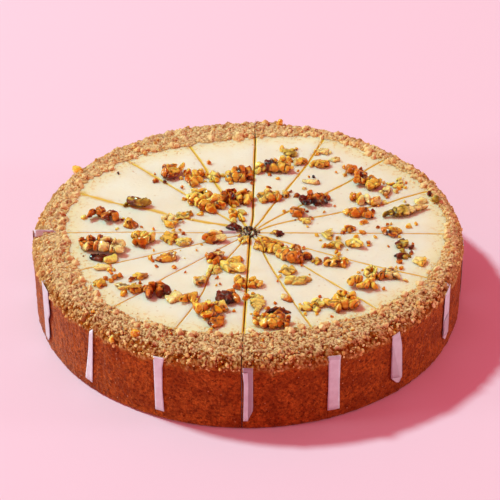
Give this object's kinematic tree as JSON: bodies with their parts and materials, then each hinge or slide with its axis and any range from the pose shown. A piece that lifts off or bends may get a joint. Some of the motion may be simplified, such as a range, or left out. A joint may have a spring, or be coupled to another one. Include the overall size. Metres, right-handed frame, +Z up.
{
  "type": "maple walnut cheesecake",
  "caption": "Round baked cheesecake in a crumb crust, cut into slices with paper dividers in the cuts and topped with glazed walnut pieces.",
  "frame": {"origin": "middle of the cake's underside, on the surface it stands on", "axes": "+Z up, -Y towards the side nearest the viewer in the picture, +X to the viewer's right"},
  "size_m": [0.2576, 0.2578, 0.0543],
  "materials": {
    "crust": "matte",
    "filling": "satin",
    "walnut": "gloss",
    "paper": "satin"
  },
  "bodies": {
    "root": {"crust_01": "crust", "crust_02": "crust", "crust_03": "crust", "crust_04": "crust", "crust_05": "crust", "crust_06": "crust", "crust_07": "crust", "crust_08": "crust", "crust_09": "crust", "crust_10": "crust", "crust_11": "crust", "crust_12": "crust", "crust_13": "crust", "crust_14": "crust", "crust_15": "crust", "crust_16": "crust", "filling_01": "filling", "filling_02": "filling", "filling_03": "filling", "filling_04": "filling", "filling_05": "filling", "filling_06": "filling", "filling_07": "filling", "filling_08": "filling", "filling_09": "filling", "filling_10": "filling", "filling_11": "filling", "filling_12": "filling", "filling_13": "filling", "filling_14": "filling", "filling_15": "filling", "filling_16": "filling", "divider_01": "paper", "divider_02": "paper", "divider_03": "paper", "divider_04": "paper", "divider_05": "paper", "divider_06": "paper", "divider_07": "paper", "divider_08": "paper", "divider_09": "paper", "divider_10": "paper", "divider_11": "paper", "divider_12": "paper", "divider_13": "paper", "divider_14": "paper", "divider_15": "paper", "divider_16": "paper", "walnut_01": "walnut", "walnut_02": "walnut", "walnut_03": "walnut", "walnut_04": "walnut", "walnut_05": "walnut", "walnut_06": "walnut", "walnut_07": "walnut", "walnut_08": "walnut", "walnut_09": "walnut", "walnut_10": "walnut", "walnut_11": "walnut", "walnut_12": "walnut"}
  },
  "joints": []
}
